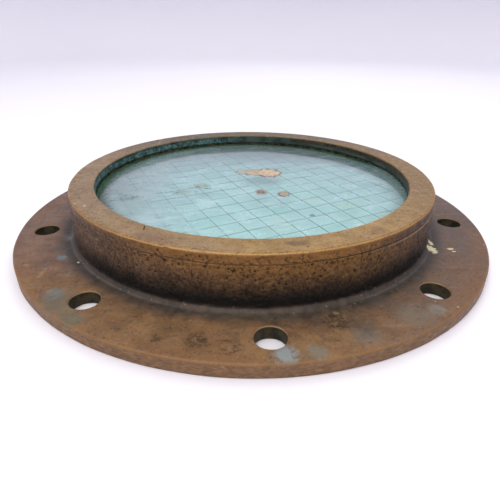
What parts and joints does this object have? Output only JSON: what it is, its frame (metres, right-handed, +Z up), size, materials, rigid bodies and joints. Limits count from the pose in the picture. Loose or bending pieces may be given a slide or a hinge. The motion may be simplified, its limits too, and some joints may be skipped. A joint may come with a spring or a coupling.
{
  "type": "opening porthole",
  "caption": "Round bronze port light: bolt-on flanged frame with a neck, and a screw-out ring that holds wired glass.",
  "frame": {"origin": "on the axis of the neck, at the underside of the flange", "axes": "+Z up the neck, away from the flange; one flange hole lies on the -Y side"},
  "size_m": [0.3048, 0.3048, 0.038],
  "materials": {
    "cast_bronze": "sand-cast and tarnished brown",
    "ring_bronze": "turned and tarnished ochre",
    "inner_bronze": "turned and dull",
    "screw_brass": "worn brass",
    "pane": "polished, pale blue-green",
    "wire": "dull drawn wire",
    "putty": "set, chalky",
    "packing": "matt",
    "gasket": "matt",
    "washer": "matt and dirty"
  },
  "bodies": {
    "frame": {"frame_casting": "cast_bronze"},
    "washer": {"joint_washer": "washer"},
    "glass_ring": {"glass_ring": "ring_bronze", "bedding_putty": "putty", "window_glass": "pane", "wire_netting": "wire", "edge_packing": "packing", "glass_gasket": "gasket", "glazing_ring": "inner_bronze", "glazing_screws": "screw_brass"}
  },
  "joints": [
    {"name": "ring_lift", "type": "slide", "parent": "frame", "child": "washer", "axis": [0, 0, 1], "range_m": [0, 0.01275]},
    {"name": "ring_turn", "type": "hinge", "parent": "washer", "child": "glass_ring", "pos_m": [0, 0, 0], "axis": [0, 0, 1], "range_deg": [0, 1440]}
  ],
  "couplings": [
    {"joint": "ring_lift", "follows": "ring_turn", "m_per_rad": 0.00050532}
  ]
}
